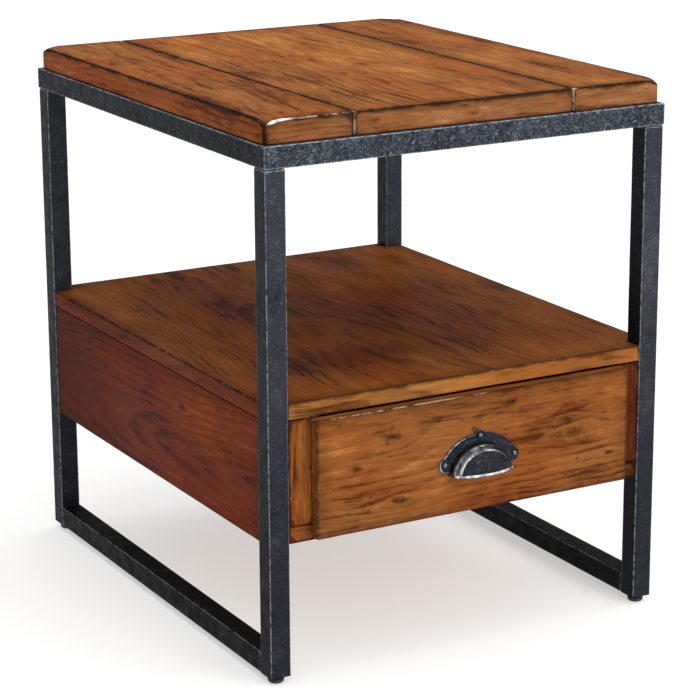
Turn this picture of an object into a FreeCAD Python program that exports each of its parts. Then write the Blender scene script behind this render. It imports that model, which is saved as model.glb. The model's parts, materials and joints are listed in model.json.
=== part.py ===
import FreeCAD, Part
import os
from math import pi, radians

# Side table: a welded square-tube frame that carries a three-board wooden top and a case with one drawer.
# Millimetres. +Z is up, -Y is the front. The origin is the centre of the base of the whole table's box.

V = FreeCAD.Vector

# ---- driving dimensions ----
width = 559.0                 # top ring, outside, left to right
depth = 660.0                 # top ring, outside, front to back
height = 686.0                # floor to the top of the wood
tube = 27.0                   # square tube for the ring, legs and floor rails
tube_wall = 1.5
tube_corner = 1.0             # outer corner radius of every tube
inner_corner = 0.4
leg_inset = 0.7               # the legs stand this far in from the ring's outer faces
glide_height = 9.0
glide_radius = 10.0

top_thickness = 29.0
top_inset_side = 3.5          # from the ring's outer face to the wood, left and right
top_inset_end = 7.0           # the same, front and rear
top_joint_left = -158.0       # the two joints between the three boards
top_joint_right = 147.0
groove_depth = 3.0            # each joint is a V-groove at the top
arris = 2.5                   # worn-down outer edge of the boards
corner_radius = 6.0           # vertical corners of the top
dub_run = 22.0                # each top corner is rubbed down, this far along both edges
dub_drop = 10.0

shelf_top = 349.5
board = 18.0                  # case panels
shelf_thickness = 20.0
case_bottom = 176.0
case_inset_side = 1.0         # from the legs' outer faces to the side panels
case_inset_front = 0.5        # from the legs' front faces to the stiles and the shelf's front edge
case_inset_rear = 0.5
bottom_rail_height = 21.0
opening_half = 211.0          # half the width between the stiles, and between the slide rails

drawer_half = 223.0           # overlay drawer front
drawer_front_bottom = 181.0
drawer_front_gap = 0.8        # under the shelf board
drawer_proud = 16.5           # the drawer front's face, in front of the legs
drawer_buffer = 1.0           # gap behind the drawer front
box_wall = 12.0
box_bottom = 203.0
box_top = 308.0
box_length = 510.0
box_bottom_panel = 5.0

slide_length = 500.0
slide_thickness = 12.7
slide_z = 250.0
cage_length = 240.0
ball_radius = 1.4

pull_x = 2.0                  # the cup pull is mounted a little right of the middle
pull_base_z = 236.0
pull_half = 58.5
pull_reach = 26.0
cup_half = 43.0
cup_low_z = 230.5
cup_high_z = 267.0

# ---- worked-out places ----
wing = width / 2
leg_out_x = wing - leg_inset
leg_in_x = leg_out_x - tube
half_depth = depth / 2
drawer_ahead = drawer_proud - leg_inset      # the drawer front's face, in front of the ring
mid_y = (pull_reach + drawer_ahead) / 2      # puts the whole table's box at equal distances from the origin
ring_front = mid_y - half_depth
ring_rear = mid_y + half_depth
leg_front = ring_front + leg_inset
leg_front_in = leg_front + tube
leg_rear = ring_rear - leg_inset
leg_rear_in = leg_rear - tube
ring_top = height - top_thickness
ring_low = ring_top - tube
wood_x = wing - top_inset_side
wood_front = ring_front + top_inset_end
wood_rear = ring_rear - top_inset_end
shelf_low = shelf_top - shelf_thickness
panel_out_x = leg_out_x - case_inset_side
panel_in_x = panel_out_x - board
case_front = leg_front + case_inset_front
case_rear = leg_rear - case_inset_rear
stile_back = case_front + board
back_panel_front = case_rear - board
stile_low = case_bottom + bottom_rail_height
drawer_face = leg_front - drawer_proud
drawer_back_face = case_front - drawer_buffer
drawer_front_top = shelf_low - drawer_front_gap
slide_front = case_front + 2.0
box_x = opening_half - slide_thickness
sides = {"left": -1, "right": 1}

# Flat steel: gussets in the ring's corners, and tabs that carry the case.
plate = 3.0
gusset_leg = 42.0
tab_depth = 30.0
tab_half_height = 50.0
rail_half_height = 40.0       # slide rails, centred on the slides
fit = 0.3                     # assembly gap between hidden pieces


# ---- shapes ----
def box(x, y, z):
    """A block from three (low, high) pairs; each pair may come in either order."""
    lows = [min(x), min(y), min(z)]
    spans = [abs(x[1] - x[0]), abs(y[1] - y[0]), abs(z[1] - z[0])]
    return Part.makeBox(*spans, V(*lows))


def cylinder(radius, start, direction, length):
    return Part.makeCylinder(radius, length, V(*start), V(*direction))


def rounded_section(u, v, radius):
    """Closed wire in the XY plane: a rectangle of half-sizes u, v with round corners."""
    edges = []
    corners = [(1, 1, 0), (-1, 1, 90), (-1, -1, 180), (1, -1, 270)]
    ends = []
    for sx, sy, turn in corners:
        centre = V(sx * (u - radius), sy * (v - radius), 0)
        arc = Part.ArcOfCircle(Part.Circle(centre, V(0, 0, 1), radius), radians(turn), radians(turn + 90))
        ends.append(arc)
    for n, arc in enumerate(ends):
        edges.append(arc.toShape())
        edges.append(Part.makeLine(arc.EndPoint, ends[(n + 1) % 4].StartPoint))
    return Part.Wire(edges)


def square_tube(u, v, length):
    """Hollow tube along +Z from z = 0, of half-sizes u, v."""
    outer = Part.Face(rounded_section(u, v, tube_corner)).extrude(V(0, 0, length))
    inner = Part.Face(rounded_section(u - tube_wall, v - tube_wall, inner_corner))
    return outer.cut(inner.extrude(V(0, 0, length)))


def along(shape, axis):
    """Turns a shape that was built along +Z so that it runs along +X or +Y."""
    turned = shape.copy()
    if axis == "x":
        turned.rotate(V(0, 0, 0), V(0, 1, 0), 90)
    elif axis == "y":
        turned.rotate(V(0, 0, 0), V(1, 0, 0), -90)
    return turned


def moved(shape, x, y, z):
    return shape.translated(V(x, y, z))


def screw(start, direction, length, radius=2.1, head_radius=3.8, head_height=2.3):
    """Countersunk wood screw whose head face is at start, driven along direction."""
    head = Part.makeCone(head_radius, radius, head_height, V(*start), V(*direction))
    shank = cylinder(radius, start, direction, length)
    return head.fuse(shank).removeSplitter()


def cut_all(shape, tools):
    for tool in tools:
        shape = shape.cut(tool)
    return shape


def save(node, *solids):
    shape = solids[0] if len(solids) == 1 else Part.Compound(list(solids))
    shape.exportStep("parts/" + node + ".step")


def softened(shape, size, keep):
    """Rounds the straight edges that keep(edge) picks."""
    edges = [e for e in shape.Edges if keep(e)]
    return shape.makeFillet(size, edges)


# ---- steel frame ----
def ring_trapezoid(side):
    """Prism whose two slanted ends are the mitres of one rail of the top ring."""
    outer = [V(-wing, ring_front), V(wing, ring_front), V(wing, ring_rear), V(-wing, ring_rear)]
    inner = [V(-wing + tube, ring_front + tube), V(wing - tube, ring_front + tube)]
    inner += [V(wing - tube, ring_rear - tube), V(-wing + tube, ring_rear - tube)]
    n = {"front": 0, "right": 1, "rear": 2, "left": 3}[side]
    m = (n + 1) % 4
    wire = Part.makePolygon([outer[n], outer[m], inner[m], inner[n], outer[n]])
    return moved(Part.Face(wire).extrude(V(0, 0, tube)), 0, 0, ring_low)


def top_rails():
    middle_z = ring_low + tube / 2
    lengthways = along(square_tube(tube / 2, tube / 2, width), "x")
    crossways = along(square_tube(tube / 2, tube / 2, depth), "y")
    places = {
        "front": moved(lengthways, -wing, ring_front + tube / 2, middle_z),
        "rear": moved(lengthways, -wing, ring_rear - tube / 2, middle_z),
        "left": moved(crossways, -wing + tube / 2, ring_front, middle_z),
        "right": moved(crossways, wing - tube / 2, ring_front, middle_z),
    }
    for side, rail in places.items():
        save("top_rail_" + side, rail.common(ring_trapezoid(side)))


def leg_centres():
    """Name and plan position of each leg's middle line."""
    for end, y in (("front", leg_front + tube / 2), ("rear", leg_rear - tube / 2)):
        for side, sign in sides.items():
            yield end + "_" + side, sign * (leg_out_x - tube / 2), y


def legs():
    for name, x, y in leg_centres():
        leg = square_tube(tube / 2, tube / 2, ring_low - glide_height)
        save("leg_" + name, moved(leg, x, y, glide_height))


def floor_rails():
    span = leg_rear_in - leg_front_in
    rail = along(square_tube(tube / 2, tube / 2, span), "y")
    for side, sign in sides.items():
        x = sign * (leg_out_x - tube / 2)
        save("floor_rail_" + side, moved(rail, x, leg_front_in, glide_height + tube / 2))


def leg_ends():
    """Plates that close the legs' lower ends, and the glides whose stems are pressed into them."""
    half = tube / 2 - tube_wall
    stem_radius = 3.0
    stem_length = 12.0
    plates = []
    glides = []
    for name, x, y in leg_centres():
        square = Part.Face(rounded_section(half, half, inner_corner)).extrude(V(0, 0, plate))
        square = moved(square, x, y, glide_height)
        plates.append(square.cut(cylinder(stem_radius, (x, y, 0), (0, 0, 1), 30)))
        pad = Part.makeCone(glide_radius - 1.5, glide_radius, 1.5, V(x, y, 0))
        pad = pad.fuse(cylinder(glide_radius, (x, y, 1.5), (0, 0, 1), glide_height - 1.5))
        stem = cylinder(stem_radius, (x, y, glide_height), (0, 0, 1), stem_length)
        glides.append(pad.fuse(stem).removeSplitter())
    save("leg_end_plates", *plates)
    save("floor_glides", *glides)


# ---- wooden top ----
def gusset_places():
    """Inner corners of the ring, with the signs that point to each."""
    for sx in (-1, 1):
        for sy, y in ((-1, ring_front + tube), (1, ring_rear - tube)):
            yield sx, sy, sx * (wing - tube), y


def gusset_screws():
    made = []
    reach = gusset_leg * 0.34
    for sx, sy, x, y in gusset_places():
        start = (x - sx * reach, y - sy * reach, ring_top - plate)
        made.append(screw(start, (0, 0, 1), 24, head_height=2.3))
    return made


def gussets(screws):
    plates = []
    for n, (sx, sy, x, y) in enumerate(gusset_places()):
        points = [V(x, y), V(x - sx * gusset_leg, y), V(x, y - sy * gusset_leg), V(x, y)]
        flat = Part.Face(Part.makePolygon(points)).extrude(V(0, 0, plate))
        plates.append(moved(flat, 0, 0, ring_top - plate).cut(screws[n]))
    return plates


def batten_rows():
    """Middle line of each batten under the top."""
    reach = half_depth - tube - gusset_leg - 45
    return {"front": mid_y - reach, "middle": mid_y, "rear": mid_y + reach}


def batten_screws():
    """Six screws in each batten, two into each board."""
    made = {}
    outer = 215
    beside_joints = [x + step for x in (top_joint_left, top_joint_right) for step in (-22, 22)]
    pairs = [-outer] + beside_joints + [outer]
    for name, y in batten_rows().items():
        made[name] = [screw((x, y, ring_top - board), (0, 0, 1), 38) for x in pairs]
    return made


def board_blank(low_x, high_x):
    return box((low_x, high_x), (wood_front, wood_rear), (ring_top, height))


def top_outline():
    """The whole top as one block, with round vertical corners, a worn arris and rubbed-down corners."""
    outline = rounded_section(wood_x, (wood_rear - wood_front) / 2, corner_radius)
    blank = moved(Part.Face(outline).extrude(V(0, 0, top_thickness)), 0, mid_y, ring_top)
    rim = [e for e in blank.Edges if e.BoundBox.ZMin > height - 0.01]
    blank = blank.makeChamfer(arris, rim)
    for sx in (-1, 1):
        for sy in (-1, 1):
            blank = blank.cut(corner_wedge(sx, sy))
    return blank


def corner_wedge(sx, sy):
    """Tetrahedron that rubs one top corner down."""
    x = sx * wood_x
    y = mid_y + sy * (wood_rear - wood_front) / 2
    tip = V(x, y, height - dub_drop)
    above = V(x, y, height + 1)
    scale = 1 + 1 / dub_drop
    along_x = V(x - sx * dub_run * scale, y, height + 1)
    along_y = V(x, y - sy * dub_run * scale, height + 1)
    corners = [tip, above, along_x, along_y]
    faces = []
    for skipped in range(4):
        a, b, c = [p for n, p in enumerate(corners) if n != skipped]
        faces.append(Part.Face(Part.makePolygon([a, b, c, a])))
    return Part.makeSolid(Part.makeShell(faces))


def groove(x):
    """Long V-shaped cutter over one joint."""
    low = V(x, wood_front - 1, height - groove_depth)
    left = V(x - groove_depth - 1, wood_front - 1, height + 1)
    right = V(x + groove_depth + 1, wood_front - 1, height + 1)
    run = wood_rear - wood_front + 2
    return Part.Face(Part.makePolygon([low, left, right, low])).extrude(V(0, run, 0))


def top_boards(screws):
    whole = top_outline()
    cutters = [groove(top_joint_left), groove(top_joint_right)] + screws
    spans = {
        "left": (-wood_x, top_joint_left),
        "centre": (top_joint_left, top_joint_right),
        "right": (top_joint_right, wood_x),
    }
    for name, (low_x, high_x) in spans.items():
        save("top_board_" + name, cut_all(whole.common(board_blank(low_x, high_x)), cutters))


def wooden_top():
    corner_screws = gusset_screws()
    rows = batten_screws()
    save("ring_gussets", *gussets(corner_screws))
    save("gusset_screws", *corner_screws)
    all_screws = list(corner_screws)
    for name, y in batten_rows().items():
        batten = box((-238, 238), (y - 25, y + 25), (ring_top - board, ring_top))
        save("top_batten_" + name, cut_all(batten, rows[name]))
        all_screws += rows[name]
    save("batten_screws", *[s for row in rows.values() for s in row])
    top_boards(all_screws)


# ---- drawer case ----
def case_corners():
    """Signs of each corner and the leg face that the steel tab is welded to."""
    for sx in (-1, 1):
        for sy, y in ((-1, leg_front_in), (1, leg_rear_in)):
            yield sx, sy, y


def tab_x(sx):
    """A tab lies flat on the side panel's inner face."""
    return sx * (panel_in_x - plate), sx * panel_in_x


def rail_screws():
    """Two screws at each end of each slide rail, through the steel tab and into the side panel."""
    made = {-1: [], 1: []}
    for sx, sy, y in case_corners():
        for up in (-1, 1):
            start = (sx * opening_half, y - sy * tab_depth / 2, slide_z + up * 32)
            made[sx].append(screw(start, (sx, 0, 0), 58))
    return made


def case_tabs(screws):
    tabs = []
    for sx, sy, y in case_corners():
        tab = box(tab_x(sx), (y, y - sy * tab_depth), (slide_z - tab_half_height, slide_z + tab_half_height))
        tabs.append(cut_all(tab, screws[sx]))
    return tabs


def cleat_screws(sx):
    """Screws up through a shelf cleat into the shelf board."""
    x = sx * (panel_in_x - 10)
    reach = (leg_rear_in - leg_front_in) / 2 - 70
    return [screw((x, mid_y + n * reach, shelf_low - 20), (0, 0, 1), 32) for n in (-1, 0, 1)]


def back_panel_screws():
    """Screws from behind, through the back panel into the slide rails' ends."""
    x = (opening_half + leg_in_x) / 2
    made = []
    for sx in (-1, 1):
        for up in (-1, 1):
            made.append(screw((sx * x, case_rear, slide_z + up * 20), (0, -1, 0), 45))
    return made


def shelf_board(screws):
    """Case top: full width between the front and rear legs, narrower between each pair of legs."""
    middle = box((-panel_out_x, panel_out_x), (leg_front_in, leg_rear_in), (shelf_low, shelf_top))
    tongue = box((-leg_in_x, leg_in_x), (case_front, case_rear), (shelf_low, shelf_top))
    whole = middle.fuse(tongue).removeSplitter()
    rim = 1.5

    def top_edge(edge):
        b = edge.BoundBox
        level = b.ZMin > shelf_top - 0.01
        at_leg = b.XLength < 30 and b.YLength < 30
        return level and not at_leg

    return cut_all(softened(whole, rim, top_edge), screws)


def slide_rail(sx, screws):
    """Thick wooden rail that fills the space from the side panel to the slide, clear of legs and tabs."""
    z = (slide_z - rail_half_height, slide_z + rail_half_height)
    wide = box((sx * opening_half, sx * panel_in_x), (leg_front_in, leg_rear_in), z)
    ends = box((sx * opening_half, sx * leg_in_x), (stile_back, back_panel_front), z)
    rail = wide.fuse(ends).removeSplitter()
    for _, sy, y in case_corners():
        pocket = box(tab_x(sx), (y + sy, y - sy * (tab_depth + fit)), z)
        rail = rail.cut(pocket)
    return cut_all(rail, screws)


def case():
    tab_screws = rail_screws()
    rear_screws = back_panel_screws()
    save("case_tabs", *case_tabs(tab_screws))
    save("slide_rail_screws", *(tab_screws[-1] + tab_screws[1]))
    save("back_panel_screws", *rear_screws)
    shelf_screws = []
    for side, sx in sides.items():
        across = (sx * panel_in_x, sx * panel_out_x)
        panel = box(across, (leg_front_in, leg_rear_in), (case_bottom, shelf_low))
        save("side_panel_" + side, cut_all(panel, tab_screws[sx]))
        stile = box((sx * opening_half, sx * leg_in_x), (case_front, stile_back), (stile_low, shelf_low))
        save("stile_" + side, stile)
        save("slide_rail_" + side, slide_rail(sx, tab_screws[sx] + rear_screws + slide_screws(sx)))
        up_screws = cleat_screws(sx)
        shelf_screws += up_screws
        cleat = box((sx * (panel_in_x - 20), sx * panel_in_x), (leg_front_in + 5, leg_rear_in - 5),
                    (shelf_low - 20, shelf_low))
        save("shelf_cleat_" + side, cut_all(cleat, up_screws))
    save("shelf_cleat_screws", *shelf_screws)
    save("shelf_board", shelf_board(shelf_screws))
    save("bottom_rail", box((-leg_in_x, leg_in_x), (case_front, stile_back), (case_bottom, stile_low)))
    back = box((-leg_in_x, leg_in_x), (back_panel_front, case_rear), (case_bottom, shelf_low))
    save("back_panel", cut_all(back, rear_screws))


# ---- drawer slides ----
# Across a slide, u runs from the slide rail (0) to the drawer side (slide_thickness).
steel = 1.3
case_half = 22.5              # half-heights of the three nested members
middle_half = 17.9
drawer_member_half = 13.2
middle_web_u = 3.0
outer_cage_u = 1.7
inner_cage_u = 4.6
cage_web = 0.7
slide_holes = (40.0, 250.0, 460.0)


def slide_bar(sx, u, z, y):
    """Bar of a slide, from u, z and y ranges; z is measured from the slide's middle."""
    x = (sx * (opening_half - u[0]), sx * (opening_half - u[1]))
    return box(x, y, (slide_z + z[0], slide_z + z[1]))


def channel(sx, web_u, open_u, half, y, thick=steel):
    """C-shaped member: a web at web_u and two flanges that reach to open_u."""
    inward = thick if open_u > web_u else -thick
    web = slide_bar(sx, (web_u, web_u + inward), (-half, half), y)
    upper = slide_bar(sx, (web_u, open_u), (half - thick, half), y)
    lower = slide_bar(sx, (web_u, open_u), (-half, thick - half), y)
    return web.fuse([upper, lower]).removeSplitter()


def slide_screws(sx):
    """Screws from the case member into the slide rail."""
    start_x = sx * (opening_half - steel)
    return [screw((start_x, slide_front + y, slide_z), (sx, 0, 0), 18, 1.9, 3.6) for y in slide_holes]


def drawer_member_screws(sx):
    """Screws from the drawer member into the drawer side."""
    start_x = sx * (box_x + steel)
    return [screw((start_x, slide_front + y, slide_z), (-sx, 0, 0), 11, 1.9, 3.6) for y in slide_holes]


def ball_cage(sx, web_u, reach_u, ball_u, row_z):
    """Thin strip with a row of balls above and below; it lies between two members."""
    middle_y = slide_front + slide_length / 2
    y = (middle_y - cage_length / 2, middle_y + cage_length / 2)
    half_strip = 0.45
    web = slide_bar(sx, (web_u, web_u + cage_web), (-row_z, row_z), y)
    rows = [(n * row_z - half_strip, n * row_z + half_strip) for n in (-1, 1)]
    strips = [slide_bar(sx, (web_u, reach_u), row, y) for row in rows]
    cage = web.fuse(strips).removeSplitter()
    balls = []
    count = 8
    pitch = (cage_length - 30) / (count - 1)
    for n in range(count):
        for up in (-1, 1):
            centre = V(sx * (opening_half - ball_u), y[0] + 15 + n * pitch, slide_z + up * row_z)
            balls.append(Part.makeSphere(ball_radius, centre))
            cage = cage.cut(Part.makeSphere(ball_radius + 0.05, centre))
    return [cage] + balls


def slides():
    y = (slide_front, slide_front + slide_length)
    fixed_screws = []
    drawer_screws = []
    outer_row = (case_half - steel + middle_half) / 2
    inner_row = (middle_half - steel + drawer_member_half) / 2
    for side, sx in sides.items():
        holes = slide_screws(sx)
        fixed_screws += holes
        save("slide_case_member_" + side, cut_all(channel(sx, 0, 9.0, case_half, y), holes))
        save("slide_middle_member_" + side, channel(sx, middle_web_u, 9.6, middle_half, y))
        holes = drawer_member_screws(sx)
        drawer_screws += holes
        inner = channel(sx, slide_thickness, 5.8, drawer_member_half, y)
        save("slide_drawer_member_" + side, cut_all(inner, holes))
        save("slide_outer_cage_" + side, *ball_cage(sx, outer_cage_u, 8.0, 5.4, outer_row))
        save("slide_inner_cage_" + side, *ball_cage(sx, inner_cage_u, 9.2, 7.6, inner_row))
    save("slide_case_screws", *fixed_screws)
    save("slide_drawer_screws", *drawer_screws)


# ---- drawer ----
box_rear = drawer_back_face + box_length
panel_low = box_bottom + 8.0  # height of the bottom panel's groove
groove_in = 6.0               # depth of that groove


def front_screws():
    """Screws from inside the drawer into the drawer front."""
    start_y = drawer_back_face + box_wall
    places = [(x, z) for x in (-150, 150) for z in (box_bottom + 30, box_top - 25)]
    return [screw((x, start_y, z), (0, -1, 0), 22) for x, z in places]


def pull_pins():
    """Three round-headed pins that hold the cup pull."""
    pins = []
    for x, z in pin_places():
        face = drawer_face - 2.2
        head = Part.makeSphere(4.6, V(x, face + 2.2, z), V(0, -1, 0), 28.6, 90)
        head = head.common(box((x - 9, x + 9), (face - 9, face), (z - 9, z + 9)))
        shank = cylinder(1.6, (x, face, z), (0, 1, 0), 12)
        pins.append(head.fuse(shank))
    return pins


def pin_places():
    span = 50.0
    side_z = pull_base_z + 10.0
    return [(pull_x - span, side_z), (pull_x + span, side_z), (pull_x, pull_base_z + 40.5)]


def half_ellipse_face(a, b, middle, normal_y):
    """Upper half of an ellipse in a plane square to Y."""
    ellipse = Part.Ellipse(V(0, 0, 0), max(a, b), min(a, b))
    arc = ellipse.toShape(0, pi)
    arc.rotate(V(0, 0, 0), V(1, 0, 0), 90)
    arc = arc.translated(V(middle[0], normal_y, middle[1]))
    ends = [v.Point for v in arc.Vertexes]
    return Part.Face(Part.Wire([arc, Part.makeLine(ends[1], ends[0])]))


def ellipsoid(a, b, c, middle):
    ball = Part.makeSphere(1.0)
    matrix = FreeCAD.Matrix()
    matrix.scale(a, b, c)
    return ball.transformGeometry(matrix).translated(V(*middle))


def cup_pull(pins):
    """Back plate with three lobes, and a quarter-ellipsoid cup that is open underneath."""
    sheet = 2.2
    lobe = 7.6
    plate_high = 43.0
    blank = half_ellipse_face(pull_half - 3, plate_high, (pull_x, pull_base_z), drawer_face)
    back = blank.extrude(V(0, -sheet, 0))
    for x, z in pin_places():
        back = back.fuse(cylinder(lobe, (x, drawer_face, z), (0, -1, 0), sheet))
    middle = (pull_x, drawer_face, cup_low_z)
    rise = cup_high_z - cup_low_z
    outer = ellipsoid(cup_half, pull_reach, rise, middle)
    inner = ellipsoid(cup_half - 2.4, pull_reach - 2.4, rise - 2.4, middle)
    above_lip = (cup_low_z, cup_high_z + 5)
    keep = box((pull_x - 60, pull_x + 60), (drawer_face - 40, drawer_face - sheet), above_lip)
    cup = outer.cut(inner).common(keep)
    lobes_clear = cup.fuse(back)
    return cut_all(lobes_clear, pins)


def drawer_buffers():
    """Four round pads on the back of the drawer front that meet the stiles when it closes."""
    pads = []
    for x in (-217, 217):
        for z in (206, 316):
            pads.append(cylinder(4, (x, drawer_back_face, z), (0, 1, 0), drawer_buffer - fit))
    return pads


def drawer():
    pins = pull_pins()
    holding = front_screws()
    upright = (drawer_front_bottom, drawer_front_top)
    front = box((-drawer_half, drawer_half), (drawer_face, drawer_back_face), upright)

    def on_face(edge):
        return abs(edge.BoundBox.YMin - drawer_face) < 0.01 and edge.BoundBox.YLength < 0.01

    front = softened(front, 1.2, on_face)
    save("drawer_front", cut_all(front, pins + holding))
    save("pull_pins", *pins)
    save("cup_pull", cup_pull(pins))
    save("drawer_front_screws", *holding)
    save("drawer_buffers", *drawer_buffers())

    z = (box_bottom, box_top)
    inside_x = box_x - box_wall
    panel = box((-inside_x - groove_in, inside_x + groove_in),
                (drawer_back_face + box_wall - groove_in, box_rear - box_wall + groove_in),
                (panel_low, panel_low + box_bottom_panel))
    save("drawer_bottom", panel)
    ends = {
        "drawer_box_front": (drawer_back_face, drawer_back_face + box_wall),
        "drawer_back": (box_rear - box_wall, box_rear),
    }
    for node, y in ends.items():
        save(node, cut_all(box((-inside_x, inside_x), y, z), [panel] + holding))
    for side, sx in sides.items():
        wall = box((sx * inside_x, sx * box_x), (drawer_back_face, box_rear), z)
        save("drawer_side_" + side, cut_all(wall, [panel] + drawer_member_screws(sx)))


def main():
    os.makedirs("parts", exist_ok=True)
    top_rails()
    legs()
    floor_rails()
    leg_ends()
    wooden_top()
    case()
    slides()
    drawer()


main()
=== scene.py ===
import bpy
import json
from math import cos, exp, hypot, pi, radians, sin, sqrt, tan
from mathutils import Matrix, Vector, noise


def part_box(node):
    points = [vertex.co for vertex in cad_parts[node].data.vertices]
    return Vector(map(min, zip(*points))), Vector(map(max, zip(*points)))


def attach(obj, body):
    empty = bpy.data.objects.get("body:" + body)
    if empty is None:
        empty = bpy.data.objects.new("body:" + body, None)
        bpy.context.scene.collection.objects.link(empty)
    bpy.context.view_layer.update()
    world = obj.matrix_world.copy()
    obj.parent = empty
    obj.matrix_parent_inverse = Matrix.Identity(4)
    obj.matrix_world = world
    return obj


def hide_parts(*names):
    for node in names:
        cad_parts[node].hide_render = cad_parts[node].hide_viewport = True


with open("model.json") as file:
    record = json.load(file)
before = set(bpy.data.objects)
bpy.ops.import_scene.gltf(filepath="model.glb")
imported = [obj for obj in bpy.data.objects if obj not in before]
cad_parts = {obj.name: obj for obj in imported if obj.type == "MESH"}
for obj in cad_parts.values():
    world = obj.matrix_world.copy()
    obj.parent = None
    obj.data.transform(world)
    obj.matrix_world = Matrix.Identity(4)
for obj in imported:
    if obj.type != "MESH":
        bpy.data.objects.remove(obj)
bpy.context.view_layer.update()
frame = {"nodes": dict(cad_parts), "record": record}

# Side table: blackened steel frame, distressed wooden top, shelf and drawer case. Metres, +Z up, -Y front.
MM = 0.001
ROOT = "frame"
DRAWER = "drawer"
CORNERS = [end + "_" + side for end in ("front", "rear") for side in ("left", "right")]
nodes = frame["nodes"]


def middle(node):
    """Middle of a CAD node's box."""
    low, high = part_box(node)
    return (Vector(low) + Vector(high)) / 2


ring_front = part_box("top_rail_front")[0].y
ring_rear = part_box("top_rail_rear")[1].y
table_middle = Vector((0, (ring_front + ring_rear) / 2, 0))


# ------------------------------------------------------------------ meshes
# A piece's "gap" is each point's distance in mm from the nearest arris, and its wear mark is the pale wear
# there, with painted highlight on some arrises.
FAR = 50.0  # gap of a point with no arris near it
TINY = 1e-9


def mesh_object(name, points, faces):
    """An object in the scene with these points and faces."""
    mesh = bpy.data.meshes.new(name)
    mesh.from_pydata([tuple(p) for p in points], [], faces)
    made = bpy.data.objects.new(name, mesh)
    bpy.context.scene.collection.objects.link(made)
    return made


def add_mesh(name, points, faces, marks, body, replaced=()):
    """Makes a piece from points and faces. marks is {attribute name: one number per point}."""
    piece = mesh_object(name, points, faces)
    mesh = piece.data
    for key, values in marks.items():
        layer = mesh.attributes.new(key, "FLOAT", "POINT")
        layer.data.foreach_set("value", values)
    mesh.polygons.foreach_set("use_smooth", [True] * len(mesh.polygons))
    mesh.update()
    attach(piece, body)
    if replaced:
        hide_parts(*replaced)
    return piece


def between(one, two):
    """Faces between two closed rings of points. A ring of one point is a pole."""
    faces = []
    size = max(len(one), len(two))
    for k in range(size):
        m = (k + 1) % size
        quad = [one[k % len(one)], one[m % len(one)], two[m % len(two)], two[k % len(two)]]
        faces.append(list(dict.fromkeys(quad)))
    return faces


def grid_lines(half, edge, pitch):
    """Places of grid lines across a face: fanned over the rounded edges, even in between."""
    steps = 4
    flat = half - edge
    fan = [flat + edge * tan(radians(45) * n / steps) for n in range(1, steps + 1)]
    count = max(1, round(2 * flat / pitch))
    even = [-flat + 2 * flat * n / count for n in range(count + 1)]
    return [-x for x in reversed(fan)] + even + fan


def block_grid(half, edge, pitch):
    """Points and outward quads of a closed box of half-sizes half, gridded by grid_lines on all six faces."""
    lines = [grid_lines(h, min(edge, 0.49 * h), pitch) for h in half]
    index = {}
    points = []
    faces = []

    def number(key):
        if key not in index:
            index[key] = len(points)
            points.append(Vector(lines[a][n] for a, n in enumerate(key)))
        return index[key]

    for a in range(3):
        u, v = (a + 1) % 3, (a + 2) % 3
        for end in (0, len(lines[a]) - 1):
            for i in range(len(lines[u]) - 1):
                for j in range(len(lines[v]) - 1):
                    quad = []
                    for di, dj in ((0, 0), (1, 0), (1, 1), (0, 1)):
                        key = [0, 0, 0]
                        key[a], key[u], key[v] = end, i + di, j + dj
                        quad.append(number(tuple(key)))
                    faces.append(quad if end else quad[::-1])
    return points, faces


def rounded(p, half, edge, corner):
    """Moves a point of a square block to the same block with rounded arrises and upright corners.
    edge is the arris radius there and corner the plan radius of the nearest upright corner."""
    core_x = max(-half.x + corner, min(half.x - corner, p.x))
    core_y = max(-half.y + corner, min(half.y - corner, p.y))
    core = Vector((core_x, core_y))
    out = Vector((p.x, p.y)) - core
    reach = max(abs(out.x), abs(out.y))
    way = out.normalized() if reach > TINY else Vector((0, 0))
    gap = corner - reach
    rise = half.z - abs(p.z)
    near_side = gap <= edge - TINY
    near_top = rise <= edge - TINY
    away, height = reach, p.z
    if near_side or near_top:
        side = max(0.0, 1 - gap / edge)
        top = max(0.0, 1 - rise / edge)
        length = hypot(side, top)
        if near_side:
            away = corner - edge + edge * (side / length)
        if near_top:
            height = (1 if p.z > 0 else -1) * (half.z - edge + edge * (top / length))
    plan = core + way * away
    return Vector((plan.x, plan.y, height))


def edge_gap(p, half, lower):
    """Distance from a point on a block's surface to the nearest arris, in millimetres. Without lower, the
    arrises round the underside don't count."""
    rise = half.z - abs(p.z) if lower else half.z - p.z
    gaps = sorted((half.x - abs(p.x), half.y - abs(p.y), rise))
    return gaps[1] / MM


def timber(node, body, edge, pitch, corner=None, shape=None, wave=0.12 * MM, seed=0.0, wear_and_highlight=None, lower=True):
    """A board in the place of a CAD node, with softened, unevenly rounded arrises and a slightly wavy
    surface.
    edge: arris radius. pitch: mesh spacing. corner gives the plan radius of the upright corner near a point.
    shape moves the finished points. wave: depth of the hollows. The wear function gives the pale wear at a
    place, and painted highlight where it runs high."""
    arris_noise, arris_change, wave_noise = 45, 0.35, 14
    low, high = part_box(node)
    centre, half = (low + high) / 2, (high - low) / 2
    square, faces = block_grid(half, edge * 1.4, pitch)
    points = []
    gaps = []
    pale = []
    for p in square:
        place = p + centre
        arris = edge * (1 + arris_change * noise.noise(place * arris_noise + Vector((seed, 0, 0))))
        plan = max(arris, corner(p) if corner else arris)
        q = rounded(p, half, arris, plan)
        inward = wave * (0.5 + 0.5 * noise.noise(place * wave_noise + Vector((0, seed, 0))))
        q = Vector(x * (1 - inward / h) for x, h in zip(q, half))
        q += centre
        points.append(shape(q) if shape else q)
        gaps.append(edge_gap(p, half, lower))
        pale.append(wear_and_highlight(place) if wear_and_highlight else 0.0)
    return add_mesh(node + "_plank", points, faces, {"gap": gaps, "wear_and_highlight": pale}, body, [node])


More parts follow.
